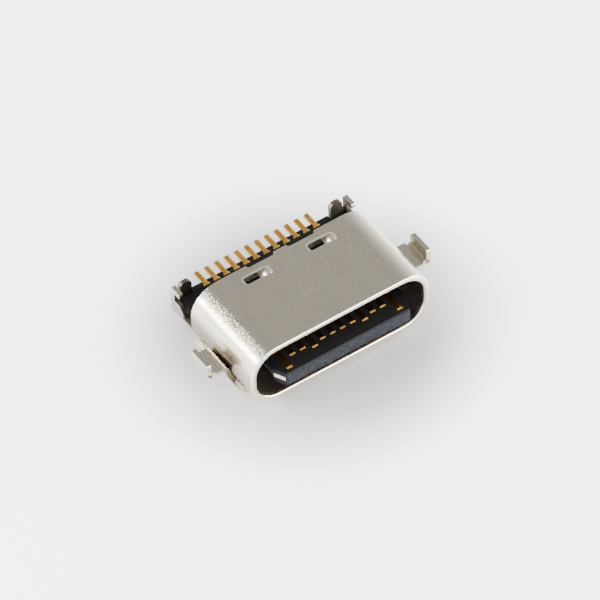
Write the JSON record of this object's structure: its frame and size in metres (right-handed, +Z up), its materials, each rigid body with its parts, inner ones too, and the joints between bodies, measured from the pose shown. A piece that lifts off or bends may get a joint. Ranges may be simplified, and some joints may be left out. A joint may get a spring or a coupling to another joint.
{
  "type": "usb-c socket",
  "caption": "Short metal-shelled plug socket with a flat oval mouth, a black central tongue with gold contacts, side wings and rear solder legs.",
  "frame": {"origin": "centre of the plug mouth, in the plane of the rim", "axes": "X along the mouth, +Y from the mouth to the tails, +Z up as the socket lies in the picture"},
  "size_m": [0.0112, 0.0073, 0.0034],
  "materials": {
    "nickel_shell": "satin nickel plate",
    "nickel_bracket": "satin nickel plate",
    "steel_plate": "rolled stainless steel",
    "black_moulding": "fine moulded grain",
    "black_carrier": "fine moulded grain",
    "gold_contact": "gold plate"
  },
  "bodies": {
    "root": {"front_shell": "nickel_shell", "outer_bracket": "nickel_bracket", "tongue_housing": "black_moulding", "mid_plate": "steel_plate", "upper_terminal_carrier": "black_carrier", "lower_terminal_carrier": "black_carrier", "upper_ground_plate": "steel_plate", "lower_ground_plate": "steel_plate", "upper_contact_01": "gold_contact", "upper_contact_02": "gold_contact", "upper_contact_03": "gold_contact", "upper_contact_04": "gold_contact", "upper_contact_05": "gold_contact", "upper_contact_06": "gold_contact", "upper_contact_07": "gold_contact", "upper_contact_08": "gold_contact", "upper_contact_09": "gold_contact", "upper_contact_10": "gold_contact", "upper_contact_11": "gold_contact", "upper_contact_12": "gold_contact", "lower_contact_01": "gold_contact", "lower_contact_02": "gold_contact", "lower_contact_03": "gold_contact", "lower_contact_04": "gold_contact", "lower_contact_05": "gold_contact", "lower_contact_06": "gold_contact", "lower_contact_07": "gold_contact", "lower_contact_08": "gold_contact", "lower_contact_09": "gold_contact", "lower_contact_10": "gold_contact", "lower_contact_11": "gold_contact", "lower_contact_12": "gold_contact"}
  },
  "joints": []
}
